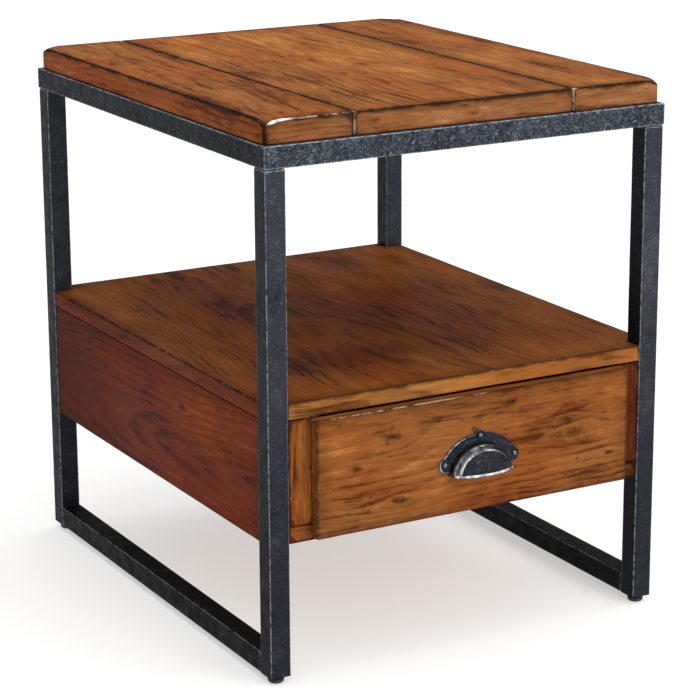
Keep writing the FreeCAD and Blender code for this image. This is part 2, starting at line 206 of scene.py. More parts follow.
def square_loop(u, v, radius, cuts):
    """Points (u, v, distance to the nearest corner) round a rectangle with round corners."""
    arc = 4
    signs = ((1, -1), (1, 1), (-1, 1), (-1, -1))
    loop = []
    for n, (sx, sy) in enumerate(signs):
        centre = (sx * (u - radius), sy * (v - radius))
        start = -90 + 90 * n
        for k in range(arc + 1):
            turn = radians(start + 90 * k / arc)
            away = abs(k - arc / 2) / arc * radius * pi / 2
            loop.append((centre[0] + radius * cos(turn), centre[1] + radius * sin(turn), away))
        next_x, next_y = signs[(n + 1) % 4]
        target = (next_x * (u - radius), next_y * (v - radius))
        turn = radians(start + 90)
        first = loop[-1]
        last = (target[0] + radius * cos(turn), target[1] + radius * sin(turn))
        length = hypot(last[0] - first[0], last[1] - first[1])
        for k in range(1, cuts):
            f = k / cuts
            away = radius * pi / 4 + min(f, 1 - f) * length
            loop.append((first[0] + (last[0] - first[0]) * f, first[1] + (last[1] - first[1]) * f, away))
    return loop


def steel_tube(node, axis, mitre=0, ground=(-1, 1)):
    """Hollow square tube in the place of a CAD node, lightly hammered. mitre is the sign, along the other
    level axis, of the face that is longest; both ends slope back from it at 45 degrees. ground lists the
    square-cut ends that have a small ground chamfer, which shows as a rubbed line."""
    wall, radius, inner_radius = 1.5 * MM, 1.0 * MM, 0.4 * MM
    dent, dent_noise = 0.12 * MM, 90
    chamfer_length, chamfer_slope = 2.2 * MM, 0.6
    end_rings = (0, 0.9, 1.8, 2.3, 2.9, 4.5)
    pitch, cuts = 7 * MM, 5

    low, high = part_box(node)
    centre, half = (low + high) / 2, (high - low) / 2
    a, b = (axis + 1) % 3, (axis + 2) % 3
    level = a if b == 2 else b
    outer = square_loop(half[a], half[b], radius, cuts)
    inner = square_loop(half[a] - wall, half[b] - wall, inner_radius, cuts)
    fan = [1 - x * MM / half[axis] for x in end_rings]
    even = max(2, round(2 * half[axis] / pitch))
    stations = [-x for x in fan] + [(2 * n / even - 1) * fan[-1] for n in range(1, even)] + fan[::-1]
    points = []
    gaps = []
    rings = []
    for skin, loop in enumerate((outer, inner)):
        for station in stations:
            ring = []
            end = 1 if station > 0 else -1
            groove = chamfer_length if end in ground and not mitre else 0.0
            from_end = (1 - abs(station)) * half[axis]
            chamfer = chamfer_slope * max(0.0, groove - from_end)
            for pa, pb, away in loop:
                p = Vector((0, 0, 0))
                p[a], p[b] = pa, pb
                back = (half[level] - mitre * p[level]) if mitre else 0.0
                p[axis] = station * (half[axis] - back)
                if not skin:
                    place = p + centre
                    hammered = 0.5 + 0.6 * noise.noise(place * dent_noise)
                    pit = chamfer + (dent * hammered if from_end > groove else 0.0)
                    p[a] *= 1 - pit / half[a]
                    p[b] *= 1 - pit / half[b]
                ring.append(len(points))
                points.append(p + centre)
                if groove:
                    near = min(away, abs(from_end - groove) + 0.2 * MM)
                elif mitre * p[level] > 0.97 * half[level]:
                    near = min(away, from_end)
                else:
                    near = away
                gaps.append(FAR if skin else near / MM)
            rings.append(ring)
    outside, inside = rings[:len(stations)], rings[len(stations):]
    faces = []
    for one, two in zip(outside, outside[1:]):
        faces += between(one, two)
    for one, two in zip(inside, inside[1:]):
        faces += between(two, one)
    faces += between(inside[0], outside[0])
    faces += between(outside[-1], inside[-1])
    return add_mesh(node + "_tube", points, faces, {"gap": gaps}, ROOT, [node])


def lathe(name, profile, origin, way, body, replaced, segments):
    """Solid of revolution: profile is (radius, distance along way) from the axis back to the axis."""
    way = Vector(way)
    side = way.orthogonal().normalized()
    other = way.cross(side)
    points = []
    rings = []
    for r, along in profile:
        turns = [2 * pi * n / segments for n in range(segments if r > TINY else 1)]
        rings.append([len(points) + n for n in range(len(turns))])
        for turn in turns:
            points.append(Vector(origin) + way * along + (side * cos(turn) + other * sin(turn)) * r)
    faces = []
    for one, two in zip(rings, rings[1:]):
        faces += between(one, two)
    return add_mesh(name, points, faces, {"gap": [FAR] * len(points)}, body, replaced)


# ------------------------------------------------------------------ materials
class Graph:
    """Short calls for building the nodes of a material, or of a world."""

    def __init__(self, name, world=None):
        self.owner = world or bpy.data.materials.new(name)
        self.owner.use_nodes = True
        self.tree = self.owner.node_tree
        self.shader = self.tree.nodes["Background" if world else "Principled BSDF"]

    def node(self, kind, inputs=(), **settings):
        made = self.tree.nodes.new("ShaderNode" + kind)
        for key, value in settings.items():
            setattr(made, key, value)
        for key, value in dict(inputs).items():
            self.put(made.inputs[key], value)
        return made

    def put(self, socket, value):
        if isinstance(value, bpy.types.NodeSocket):
            self.tree.links.new(value, socket)
        elif socket.type == "RGBA":
            socket.default_value = (*value, 1)
        else:
            socket.default_value = value

    def place(self):
        return self.node("TexCoord").outputs["Object"]

    def mark(self, name):
        return self.node("Attribute", attribute_name=name).outputs["Fac"]

    def facing(self, axis):
        """How squarely the surface faces along an axis, from 0 to 1."""
        normal = self.node("SeparateXYZ", {0: self.node("TexCoord").outputs["Normal"]})
        return self.math("ABSOLUTE", normal.outputs["xyz".index(axis)])

    def math(self, operation, a, b=0.0, c=0.0, clamp=False):
        made = self.node("Math", {0: a, 1: b, 2: c}, operation=operation, use_clamp=clamp)
        return made.outputs[0]

    def vector(self, operation, a, b=(0, 0, 0)):
        made = self.node("VectorMath", {0: a, 1: b}, operation=operation)
        return made.outputs[1 if operation == "LENGTH" else 0]

    def ramp(self, value, low, high, to_low=0.0, to_high=1.0):
        """Smooth step from to_low at low to to_high at high."""
        inputs = {0: value, 1: low, 2: high, 3: to_low, 4: to_high}
        return self.node("MapRange", inputs, interpolation_type="SMOOTHSTEP").outputs[0]

    def noise(self, at, scale, detail=3.0, rough=0.5, distortion=0.0):
        inputs = {"Vector": at, "Scale": scale, "Detail": detail, "Roughness": rough}
        return self.node("TexNoise", {**inputs, "Distortion": distortion}).outputs[0]

    def pattern(self, at, scales, detail, rough):
        """Noise with its own scale along x, y and z."""
        return self.noise(self.vector("MULTIPLY", at, scales), 1.0, detail, rough)

    def mix(self, factor, a, b, blend="MIX"):
        made = self.node("Mix", data_type="RGBA", blend_type=blend)
        self.put(made.inputs[0], factor)
        self.put(made.inputs[6], a)
        self.put(made.inputs[7], b)
        return made.outputs[2]

    def colours(self, value, stops):
        """Colour ramp: stops are (value, colour)."""
        made = self.node("ValToRGB", {0: value})
        ramp = made.color_ramp
        ramp.interpolation = "EASE"
        while len(ramp.elements) < len(stops):
            ramp.elements.new(0.5)
        for element, (place, colour) in zip(ramp.elements, stops):
            element.position = place
            element.color = (*colour, 1)
        return made.outputs[0]

    def bump(self, height, distance, strength):
        inputs = {"Strength": strength, "Distance": distance, "Height": height}
        return self.node("Bump", inputs).outputs[0]

    def finish(self, **sockets):
        """Sets or links the shader's sockets, named in lower case with underscores."""
        for key, value in sockets.items():
            self.put(self.shader.inputs[key.replace("_", " ").title().replace("Ior", "IOR")], value)
        return self.owner


def rgb(red, green, blue):
    """Linear colour from 0-255 screen values."""
    def linear(value):
        value /= 255
        return value / 12.92 if value <= 0.04045 else ((value + 0.055) / 1.055) ** 2.4
    return linear(red), linear(green), linear(blue)


def scaled(colour, factor):
    """The colour made darker or lighter."""
    return tuple(min(1.0, x * factor) for x in colour)


# How a grain axis is turned onto x, and how a knot is stretched along the grain.
TURNS = {"x": (0, 0, 0), "y": (0, 0, radians(-90)), "z": (0, radians(90), 0)}
SLIM = {"x": (0.42, 1, 1), "y": (1, 0.42, 1), "z": (1, 1, 0.42)}
CHAR = (0.010, 0.004, 0.003)
# Pale colour of worn arrises, also used for painted highlight at the top's groove ends; the white after it is
# a painted highlight.
PALE_WEAR_AND_GLINT = (0.46, 0.35, 0.26)
WHITE_GLINT = (0.86, 0.82, 0.76)
FLAKE = (0.34, 0.39, 0.46)
REDDEN = (1.0, 0.74, 0.56)

# The wood's patterns, as noise scales per metre along the grain and twice across it.
SWAY = (2.4, 6.5, 6.5)
RIPPLE = (9, 30, 30)
STRANDS = (2.6, 95, 95)
FIBRES = (11, 520, 520)
PORES = (42, 900, 900)
BLOTCHES = (7, 22, 22)
CURLS = (45, 130, 130)
REDNESS = (4, 9, 9)
SPECKS = (70, 150, 150)


def knot_field(g, at, grain, knots):
    """Bends the grain round each knot. Returns the bent coordinates and the darkness of the knots."""
    bent, heart = at, None
    ragged = g.ramp(g.noise(at, 160.0, 3.0, 0.6), 0.3, 0.7, 0.6, 1.5)
    for place, radius in knots:
        away = g.vector("MULTIPLY", g.vector("SUBTRACT", at, tuple(place)), SLIM[grain])
        length = g.vector("LENGTH", away)
        near = g.ramp(length, 0.0, radius * 4.5, 0.75, 0.0)
        push = g.node("VectorMath", {0: away, "Scale": near}, operation="SCALE").outputs[0]
        bent = g.vector("SUBTRACT", bent, push)
        core = g.ramp(g.math("MULTIPLY", length, ragged), radius * 0.1, radius * 1.5, 0.85, 0.0)
        heart = core if heart is None else g.math("MAXIMUM", heart, core)
    return bent, heart


def wander(g, at, scales, detail, reach):
    """Smooth random shift across the grain, of up to about half of reach."""
    inputs = {"Vector": g.vector("MULTIPLY", at, scales), "Scale": 1.0, "Detail": detail}
    drift = g.node("TexNoise", inputs).outputs["Color"]
    return g.vector("MULTIPLY", g.vector("SUBTRACT", drift, (0.5, 0.5, 0.5)), (0.0, reach, reach))


def growth_rings(g, at, heart, pitch):
    """Darkness of flat-sawn growth rings, pitch mm apart, round a slightly tilted heart line."""
    tilt = 0.045
    parts = g.node("SeparateXYZ", {0: at})
    off_y = g.math("SUBTRACT", parts.outputs[1], heart[0])
    off_z = g.math("SUBTRACT", parts.outputs[2], heart[1])
    squares = g.math("ADD", g.math("MULTIPLY", off_y, off_y), g.math("MULTIPLY", off_z, off_z))
    radius = g.math("MULTIPLY_ADD", parts.outputs[0], tilt, g.math("SQRT", squares))
    year = g.math("FRACT", g.math("DIVIDE", radius, pitch * MM))
    return g.math("MULTIPLY", g.ramp(year, 0.25, 0.86), g.ramp(year, 0.90, 1.0, 1.0, 0.0))


def edge_stain_wear_and_highlight(g, colour, at, cloud, dark, shade, spread, burn, bright):
    """Stain rubbed in along the arrises, and pale wear on them, which where the wear mark runs high is a
    painted highlight.
    """
    gap = g.mark("gap")
    ragged = g.noise(at, 42.0, 4.0, 0.6)
    wide = g.math("MULTIPLY", g.ramp(gap, 1.0, 30.0, 1.0, 0.0), g.ramp(cloud, 0.35, 0.65, 0.3, 1.0))
    colour = g.mix(g.math("MULTIPLY", wide, shade), colour, scaled(dark, 0.15))
    width = g.ramp(ragged, 0.32, 0.70, spread * 0.30, spread)
    line = g.math("MULTIPLY", g.ramp(g.math("DIVIDE", gap, width), 0.15, 1.0, 1.0, 0.0), burn)
    colour = g.mix(line, colour, CHAR)
    # Pale wear, turning to a white painted highlight where the wear mark runs past 1.1.
    wear_and_highlight = g.math("ADD", g.mark("wear_and_highlight"), bright)
    reach = g.math("MULTIPLY_ADD", g.math("MAXIMUM", g.math("SUBTRACT", wear_and_highlight, 0.7), 0.0), 1.7, 1.8)
    limit = g.math("MAXIMUM", g.math("MULTIPLY_ADD", wear_and_highlight, -0.25, 0.62), 0.25)
    spot = g.ramp(g.noise(at, 75.0, 3.0, 0.6), limit, 0.66)
    rim = g.math("MULTIPLY", g.ramp(gap, 0.5, reach, 1.0, 0.0), g.math("MULTIPLY", spot, wear_and_highlight), clamp=True)
    return g.mix(rim, colour, g.mix(g.ramp(wear_and_highlight, 1.1, 1.6), PALE_WEAR_AND_GLINT, WHITE_GLINT))


def wood(name, grain, tones, offset, knots=(), heart=(0.0, -0.09), pitch=7.5, figure=1.0, ends=None,
         ends_gain=None, burn=0.8, spread=7.0, bright=0.0, shade=0.35, gloss=0.46, streak=1.0,
         flank_shade=None, patches=()):
    """Stained wood whose grain runs along an axis, with growth rings seen flat-sawn.
    tones: dark, middle and light colour. offset: shifts the pattern, so that no two boards are alike.
    knots: (place, radius). heart: where the tree's centre line lies across the board. pitch: ring spacing
    in mm. figure: how much the rings wander. ends: grain axis drawn on the faces that cut the grain, and
    ends_gain their tint. burn, spread: darkness and greatest width in mm of the stain rubbed in along each
    arris. bright: pale wear on the arrises. shade: darkening towards the edges. gloss: middle roughness.
    streak: strength of the fibres. The side tint darkens the faces that look left and right, as painted
    shade.
    patches: soft darker patches, (place, radii, amount); on the side panels they are painted shade."""
    g = Graph(name)
    at = g.place()
    dark, mid, light = tones
    bent, knot = knot_field(g, at, grain, knots)
    turned = g.node("Mapping", {"Vector": bent, "Rotation": TURNS[grain]}).outputs[0]
    if ends:
        across = g.node("Mapping", {"Vector": bent, "Rotation": TURNS[ends]}).outputs[0]
        cut = g.ramp(g.facing(grain), 0.5, 0.9)
        choose = g.node("Mix", {0: cut, 4: turned, 5: across}, data_type="VECTOR")
        turned = choose.outputs[1]

    shifted = g.vector("ADD", turned, offset)
    sway = wander(g, shifted, SWAY, 3.0, 0.055 * figure)
    ripple = wander(g, shifted, RIPPLE, 2.0, 0.010 * figure)
    late = growth_rings(g, g.vector("ADD", g.vector("ADD", turned, sway), ripple), heart, pitch)

    fine = g.vector("ADD", shifted, g.vector("MULTIPLY", sway, (1, 0.7, 0.7)))
    strand = g.pattern(fine, STRANDS, 5.0, 0.62)
    fibre = g.pattern(fine, FIBRES, 3.0, 0.6)
    pores = g.ramp(g.pattern(fine, PORES, 2.0, 0.5), 0.58, 0.70)
    cloud = g.noise(shifted, 5.0, 3.0, 0.55)
    blotch = g.pattern(shifted, BLOTCHES, 4.0, 0.6)
    curl = g.pattern(fine, CURLS, 4.0, 0.65)

    tone = g.math("MULTIPLY_ADD", late, -0.15, 0.44)
    weights = ((strand, 0.55 * streak), (curl, 0.60 * streak), (fibre, 0.55), (blotch, 0.90), (cloud, 0.75))
    for part, weight in weights:
        tone = g.math("MULTIPLY_ADD", g.math("SUBTRACT", part, 0.5), weight, tone)
    colour = g.colours(tone, [(0.05, dark), (0.42, mid), (0.80, light)])
    redness = g.ramp(g.pattern(shifted, REDNESS, 3.0, 0.55), 0.42, 0.64, 0.0, 0.75)
    colour = g.mix(redness, colour, REDDEN, "MULTIPLY")
    if ends:
        colour = g.mix(cut, colour, ends_gain, "MULTIPLY")
    # Painted shade: the faces that look left and right take a darker tint.
    if flank_shade:
        colour = g.mix(g.ramp(g.facing("x"), 0.6, 0.95), colour, flank_shade, "MULTIPLY")
    colour = g.mix(g.math("MULTIPLY", pores, 0.30 * streak), colour, CHAR)
    specks = g.ramp(g.pattern(fine, SPECKS, 1.0, 0.4), 0.73, 0.79)
    colour = g.mix(g.math("MULTIPLY", specks, 0.5 * streak), colour, CHAR)
    if knot is not None:
        colour = g.mix(g.math("MULTIPLY", knot, g.ramp(strand, 0.3, 0.6, 0.6, 0.95)), colour, CHAR)
    # Soft darker patches; on the side panels these are painted shade towards the rear.
    for place, radii, amount in patches:
        away = g.vector("SUBTRACT", at, tuple(place))
        away = g.vector("ADD", away, g.vector("MULTIPLY", sway, (0.6, 0.6, 0.6)))
        length = g.vector("LENGTH", g.vector("DIVIDE", away, radii))
        soft = g.math("MULTIPLY", g.ramp(length, 0.1, 1.0, 1.0, 0.0), g.ramp(blotch, 0.3, 0.6, 0.55, 1.0))
        colour = g.mix(g.math("MULTIPLY", soft, amount), colour, scaled(dark, 0.22))
    colour = edge_stain_wear_and_highlight(g, colour, at, cloud, dark, shade, spread, burn, bright)

    uneven = g.ramp(cloud, 0.3, 0.7, gloss - 0.06, gloss + 0.08)
    height = g.math("MULTIPLY_ADD", pores, -0.9, g.math("MULTIPLY", strand, 0.8))
    height = g.math("MULTIPLY_ADD", late, -0.25, height)
    height = g.math("MULTIPLY_ADD", fibre, 0.3, height)
    if knot is not None:
        height = g.math("MULTIPLY_ADD", knot, -1.5, height)
    return g.finish(base_color=colour, roughness=uneven, normal=g.bump(height, 0.15 * MM, 0.8),
                    specular_ior_level=0.02)


def steel(name, base, hammer, rough, wear_and_highlight, metallic=0.4, fleck=0.3, side_shade=0.45, foot=0.55,
          shine=(0.42, 0.45, 0.50)):
    """Blackened steel: hammered and mottled, with rubbed bright lines of colour shine on its arrises, which
    on the cast pull are partly painted highlight. hammer: strength of the hammering. The wear strength sets
    how bright
    those lines are. fleck: bright specks. The side and floor shade factors darken the colour, as painted
    shade, on the faces that look left and right and towards the floor."""
    g = Graph(name)
    at = g.place()
    gap = g.mark("gap")
    inputs = {"Vector": at, "Scale": 240.0, "Smoothness": 0.4, "Randomness": 1.0}
    pits = g.node("TexVoronoi", inputs, feature="SMOOTH_F1").outputs["Distance"]
    grain = g.noise(at, 430.0, 4.0, 0.6)
    hammered = g.noise(at, 250.0, 4.0, 0.6, 1.2)
    mottle = g.noise(at, 60.0, 5.0, 0.65)
    slow = g.noise(at, 9.0, 3.0, 0.5)
    tone = g.math("MULTIPLY_ADD", mottle, 0.40, g.math("MULTIPLY", slow, 0.3))
    tone = g.math("MULTIPLY_ADD", hammered, hammer, tone)
    tone = g.math("SUBTRACT", tone, 0.5 * hammer - 0.15)
    colour = g.colours(tone, [(0.34, scaled(base, 0.40)), (0.50, base), (0.68, scaled(base, 2.4))])
    flake = g.math("MULTIPLY", g.ramp(grain, 0.52, 0.66), g.ramp(hammered, 0.48, 0.62))
    colour = g.mix(g.math("MULTIPLY", flake, fleck), colour, FLAKE)
    # Painted shade: darker on the faces that look left and right, and lower down towards the floor.
    sideways = g.ramp(g.facing("x"), 0.6, 0.95, 1.0, side_shade)
    low = g.ramp(g.node("SeparateXYZ", {0: at}).outputs[2], 0.04, 0.48, foot, 1.0)
    shade = g.node("CombineXYZ", {n: g.math("MULTIPLY", sideways, low) for n in range(3)}).outputs[0]
    colour = g.mix(1.0, colour, shade, "MULTIPLY")
    ragged = g.noise(at, 130.0, 4.0, 0.65)
    rub = g.math("MULTIPLY", g.ramp(gap, 0.25, 1.5, 1.0, 0.0), g.ramp(ragged, 0.38, 0.58, 0.15, 1.0))
    colour = g.mix(g.math("MULTIPLY", rub, wear_and_highlight), colour, shine)
    roughness = g.ramp(mottle, 0.3, 0.7, rough - 0.08, rough + 0.14)
    height = g.math("MULTIPLY_ADD", pits, 0.7, g.math("MULTIPLY", hammered, 1.6))
    height = g.math("MULTIPLY_ADD", grain, 0.3, height)
    return g.finish(base_color=colour, metallic=metallic, roughness=roughness,
                    normal=g.bump(height, 1.6 * MM * hammer, 1.0), specular_ior_level=0.03)


def plain_metal(name, base, rough):
    """Bright plated or machined steel with faint drawn lines."""
    g = Graph(name)
    at = g.place()
    lines = g.pattern(at, (30, 900, 900), 3.0, 0.6)
    smudge = g.noise(at, 45.0, 4.0, 0.6)
    colour = g.colours(smudge, [(0.3, scaled(base, 0.72)), (0.7, base)])
    haze = g.math("MULTIPLY_ADD", lines, 0.5, g.math("MULTIPLY", smudge, 0.5))
    roughness = g.ramp(haze, 0.3, 0.7, rough - 0.07, rough + 0.1)
    return g.finish(base_color=colour, metallic=1.0, roughness=roughness,
                    normal=g.bump(lines, 0.02 * MM, 0.6))


def moulded(name, base, rough):
    """Moulded plastic or rubber with a fine moulded-in texture."""
    g = Graph(name)
    at = g.place()
    skin = g.noise(at, 900.0, 3.0, 0.6)
    scuff = g.noise(at, 70.0, 4.0, 0.6)
    colour = g.colours(scuff, [(0.35, scaled(base, 0.7)), (0.75, scaled(base, 1.5))])
    return g.finish(base_color=colour, roughness=g.ramp(scuff, 0.3, 0.7, rough - 0.08, rough + 0.08),
                    normal=g.bump(skin, 0.05 * MM, 0.5))


# ------------------------------------------------------------------ pieces
def paint(piece, material):
    piece.data.materials.clear()
    piece.data.materials.append(material)


def make_tubes():
    """The welded frame: mitred top ring, four legs and two floor rails. Returns the legs' material."""
    rail_face = steel("steel_ring", rgb(58, 63, 70), hammer=1.0, rough=0.42, wear_and_highlight=0.75, fleck=0.75,
                      side_shade=0.25)
    leg_face = steel("steel_legs", rgb(51, 53, 60), hammer=0.22, rough=0.46, wear_and_highlight=0.45, fleck=0.14,
                     side_shade=0.38)
    floor_face = steel("steel_floor_rails", rgb(20, 21, 24), hammer=0.35, rough=0.5, wear_and_highlight=0.28, fleck=0.06,
                       side_shade=0.62)
    for side, axis, longest in (("front", 0, -1), ("rear", 0, 1), ("left", 1, -1), ("right", 1, 1)):
        paint(steel_tube("top_rail_" + side, axis, longest), rail_face)
    for corner in CORNERS:
        paint(steel_tube("leg_" + corner, 2, ground=(1,)), leg_face)
    for side in ("left", "right"):
        paint(steel_tube("floor_rail_" + side, 1), floor_face)
    return leg_face


def weld(name, start, end, lean):
    """Short weld bead between two points, with a rippled surface; lean points out of the corner it fills."""
    radius, step, around = 1.7 * MM, 0.7 * MM, 10
    start, end, lean = Vector(start), Vector(end), Vector(lean).normalized()
    run = end - start
    side = run.normalized().cross(lean)
    count = max(8, round(run.length / step))
    points = []
    for n in range(count + 1):
        f = n / count
        swell = radius * (0.85 + 0.18 * sin(n * 1.9) + 0.2 * noise.noise(start * 50 + run * f * 300))
        swell *= sqrt(max(0.02, 1 - (2 * f - 1) ** 8))
        for k in range(around):
            turn = 2 * pi * k / around
            points.append(start + run * f + lean * swell * cos(turn) * 0.75 + side * swell * sin(turn))
    rings = [list(range(n * around, (n + 1) * around)) for n in range(count + 1)]
    faces = []
    for one, two in zip(rings, rings[1:]):
        faces += between(one, two)
    faces.append(rings[0][::-1])
    faces.append(rings[-1])
    return add_mesh(name, points, faces, {"gap": [FAR] * len(points)}, ROOT)


def make_welds(material):
    """Beads where the floor rails and the ring meet the legs."""
    inset = 2 * MM
    for side in ("left", "right"):
        rail_low, rail_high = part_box("floor_rail_" + side)
        for end, inward, rail_end in (("front", 1, rail_low.y), ("rear", -1, rail_high.y)):
            leg_low, leg_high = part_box("leg_" + end + "_" + side)
            leg_inside = leg_high.y if inward > 0 else leg_low.y
            corners = (("floor", rail_low.x, rail_high.x, rail_end, rail_high.z, 1),
                       ("ring", leg_low.x, leg_high.x, leg_inside, leg_high.z, -1))
            for place, x0, x1, y, z, lean in corners:
                name = "weld_" + place + "_" + end + "_" + side
                bead = weld(name, (x0 + inset, y, z), (x1 - inset, y, z), (0, inward, lean))
                paint(bead, material)


def top_shape():
    """Rubs the top's four corners down in a curve."""
    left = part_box("top_board_left")[0]
    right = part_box("top_board_right")[1]
    run, drop = 27 * MM, 13 * MM

    def shape(q):
        a = min(q.x - left.x, right.x - q.x)
        b = min(q.y - left.y, right.y - q.y)
        near = max(0.0, 1 - (a + b) / run)
        height = (q.z - left.z) / (right.z - left.z)
        fall = drop * (1 - sqrt(1 - min(1, near) ** 2)) * max(0.0, height)
        return q - Vector((0, 0, fall))
    return shape


def make_top():
    """Three boards with V-grooves between them, worn round the rim, with painted highlights on the front left
    corner and where the grooves meet the front face.
    """
    tones = (rgb(84, 40, 16), rgb(142, 87, 42), rgb(180, 120, 64))
    left, front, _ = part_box("top_board_left")[0]
    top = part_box("top_board_left")[1].z
    joints = [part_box("top_board_centre")[0].x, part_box("top_board_centre")[1].x]

    def wear_and_highlight(place):
        """Bright on the front left corner's arrises, a painted highlight; pale where the grooves meet the
        front face, wear with a painted highlight; and pale wear along the left part of the front arris.
        """
        along, back = place.x - left, place.y - front
        on_top = place.z > top - 4 * MM
        if back > 6 * MM:
            return 0.4 * on_top * max(0.0, 1 - back / (30 * MM)) * (along < 10 * MM)
        if any(-0.5 * MM < place.x - x < 5 * MM for x in joints):
            return 1.0
        # Painted highlight: a bright streak that fades from the front left corner along the front arris.
        streak = 1.9 * exp(-along / (35 * MM)) * max(0.0, min(1.0, (along - 3 * MM) / (6 * MM)))
        return on_top * (streak + 0.55 * (place.x < -100 * MM))

    boards = {
        "left": dict(outward=-1, knots=(), heart=(-0.30, -0.20), offset=(0.3, 0.2, 0.4)),
        "centre": dict(outward=0, heart=(-0.02, 0.60), offset=(1.4, 1.7, 0.4),
                       knots=[(Vector((-0.035, -0.06, top)), 4 * MM), (Vector((0.09, 0.17, top)), 4 * MM)]),
        "right": dict(outward=1, knots=(), heart=(0.12, 0.50), offset=(3.0, 4.2, 0.9)),
    }
    for n, (side, board) in enumerate(boards.items()):
        node = "top_board_" + side

        def corner(p, outward=board["outward"]):
            return 6 * MM if outward * p.x > 0 else 2.4 * MM

        plank = timber(node, ROOT, 2.4 * MM, 8 * MM, corner, top_shape(), wave=0.2 * MM, seed=n * 7.0,
                       wear_and_highlight=wear_and_highlight, lower=False)
        material = wood("wood_top_" + side, "y", tones, board["offset"], board["knots"], board["heart"],
                        pitch=8.0, figure=1.3, ends="x", ends_gain=(1.13, 1.28, 1.9), burn=0.9, spread=9.0,
                        bright=0.1, shade=0.5, flank_shade=(1.05, 0.80, 0.64))
        paint(plank, material)


def make_shelf():
    """Shelf board, notched round the legs."""
    low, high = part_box("shelf_board")
    board = timber("shelf_board", ROOT, 1.6 * MM, 9 * MM, wave=0.2 * MM, seed=3.0, lower=False)
    front_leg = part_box("leg_front_left")[1]
    rear_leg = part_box("leg_rear_left")[0]
    notch_cuts(board, front_leg.x, front_leg.y, rear_leg.y, low, high)
    tones = (rgb(58, 27, 8), rgb(124, 71, 29), rgb(160, 96, 42))
    # Darker patches on the shelf top, a diagonal near the front left and one in the middle. The shelf's faces
    # that look left and right take a darker tint, as painted shade.
    dark_patches = [(Vector((-0.10, -0.17, high.z)), (0.20, 0.07, 0.1), 0.45),
              (Vector((0.02, -0.02, high.z)), (0.08, 0.20, 0.1), 0.25)]
    material = wood("wood_shelf", "y", tones, (4.1, 0.6, 1.1), heart=(0.06, 0.22), pitch=9.0, figure=1.2,
                    ends="x", ends_gain=(2.15, 2.8, 3.7), burn=0.7, bright=0.2, streak=0.5, shade=0.45,
                    flank_shade=(0.75, 0.50, 0.40), patches=dark_patches, gloss=0.42)
    paint(board, material)


def notch_cuts(board, inner_x, front_in, rear_in, low, high):
    """Cuts the four leg notches out of the shelf board with a boolean."""
    past_end, past_face, past_side = 50 * MM, 20 * MM, 0.4
    points = []
    faces = []
    for sx in (-1, 1):
        for near, far in ((low.y - past_end, front_in), (rear_in, high.y + past_end)):
            xs = sorted((sx * abs(inner_x), sx * past_side))
            base = len(points)
            for z in (low.z - past_face, high.z + past_face):
                for x, y in ((xs[0], near), (xs[1], near), (xs[1], far), (xs[0], far)):
                    points.append(Vector((x, y, z)))
            for quad in ((3, 2, 1, 0), (4, 5, 6, 7), (0, 1, 5, 4), (1, 2, 6, 5), (2, 3, 7, 6), (3, 0, 4, 7)):
                faces.append([base + k for k in quad])
    cutter = mesh_object("notch", points, faces)
    cut = board.modifiers.new("notch", "BOOLEAN")
    cut.object = cutter
    cut.solver = "EXACT"
    bake_modifiers(board)
    bpy.data.objects.remove(cutter)


def bake_modifiers(piece):
    """Applies a piece's modifiers to its mesh."""
    bpy.context.view_layer.update()
    graph = bpy.context.evaluated_depsgraph_get()
    mesh = bpy.data.meshes.new_from_object(piece.evaluated_get(graph))
    piece.modifiers.clear()
    piece.data = mesh


def make_case():
    """Side panels, stiles, bottom rail and back panel."""
    side_tones = (rgb(64, 24, 11), rgb(108, 51, 25), rgb(140, 76, 38))
    shaded_stile_tones = (rgb(52, 21, 9), rgb(92, 44, 22), rgb(126, 68, 34))
    stile_tones = (rgb(72, 30, 10), rgb(150, 88, 42), rgb(200, 132, 66))
    low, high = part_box("side_panel_left")
    depth = high.y - low.y
    tall = high.z - low.z
    left_knots = [(Vector((low.x, high.y - 0.27 * depth, high.z - 0.30 * tall)), 4 * MM),
                  (Vector((low.x, high.y - 0.66 * depth, high.z - 0.27 * tall)), 5 * MM)]
    # Painted shade: the side panels darken towards the rear, and their side tint darkens them as faces that
    # look left and right.
    rear_shade = [(Vector((low.x, high.y, high.z - 0.5 * tall)), (0.5, 0.30, 0.3), 0.65)]
    for n, side in enumerate(("left", "right")):
        node = "side_panel_" + side
        panel = timber(node, ROOT, 0.9 * MM, 10 * MM, seed=n * 5.0)
        knots = left_knots if side == "left" else ()
        material = wood("wood_side_" + side, "y", side_tones, (2.0 + n, 0.2, 5.0), knots, (0.22, 0.23),
                        pitch=8.0, figure=0.8, burn=0.5, streak=0.6, shade=0.3, flank_shade=(0.98, 0.80, 0.58),
                        patches=rear_shade)
        paint(panel, material)
        node = "stile_" + side
        stile = timber(node, ROOT, 0.9 * MM, 8 * MM, seed=n * 3.0)
        # Painted shade: the right stile takes darker tones than the left one, for the shade beside the proud
        # drawer front.
        tones = stile_tones if side == "left" else shaded_stile_tones
        material = wood("wood_stile_" + side, "z", tones, (0.7 * n, 3.0, 1.0), heart=(0.0, 0.1), pitch=6.0,
                        figure=0.8, burn=0.85, bright=0.15, shade=0.4)
        paint(stile, material)
    back = timber("back_panel", ROOT, 0.9 * MM, 12 * MM)
    paint(back, wood("wood_back", "x", side_tones, (1.0, 8.0, 2.0), heart=(0.2, 0.24), burn=0.5))
    low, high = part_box("bottom_rail")
    rail = timber("bottom_rail", ROOT, 0.9 * MM, 9 * MM)
    end_stain = [(Vector((high.x, low.y, low.z)), (0.06, 0.06, 0.06), 0.9)]
    material = wood("wood_bottom_rail", "x", stile_tones, (5.0, 2.0, 2.0), heart=(-0.2, 0.1),
                    patches=end_stain)
    paint(rail, material)


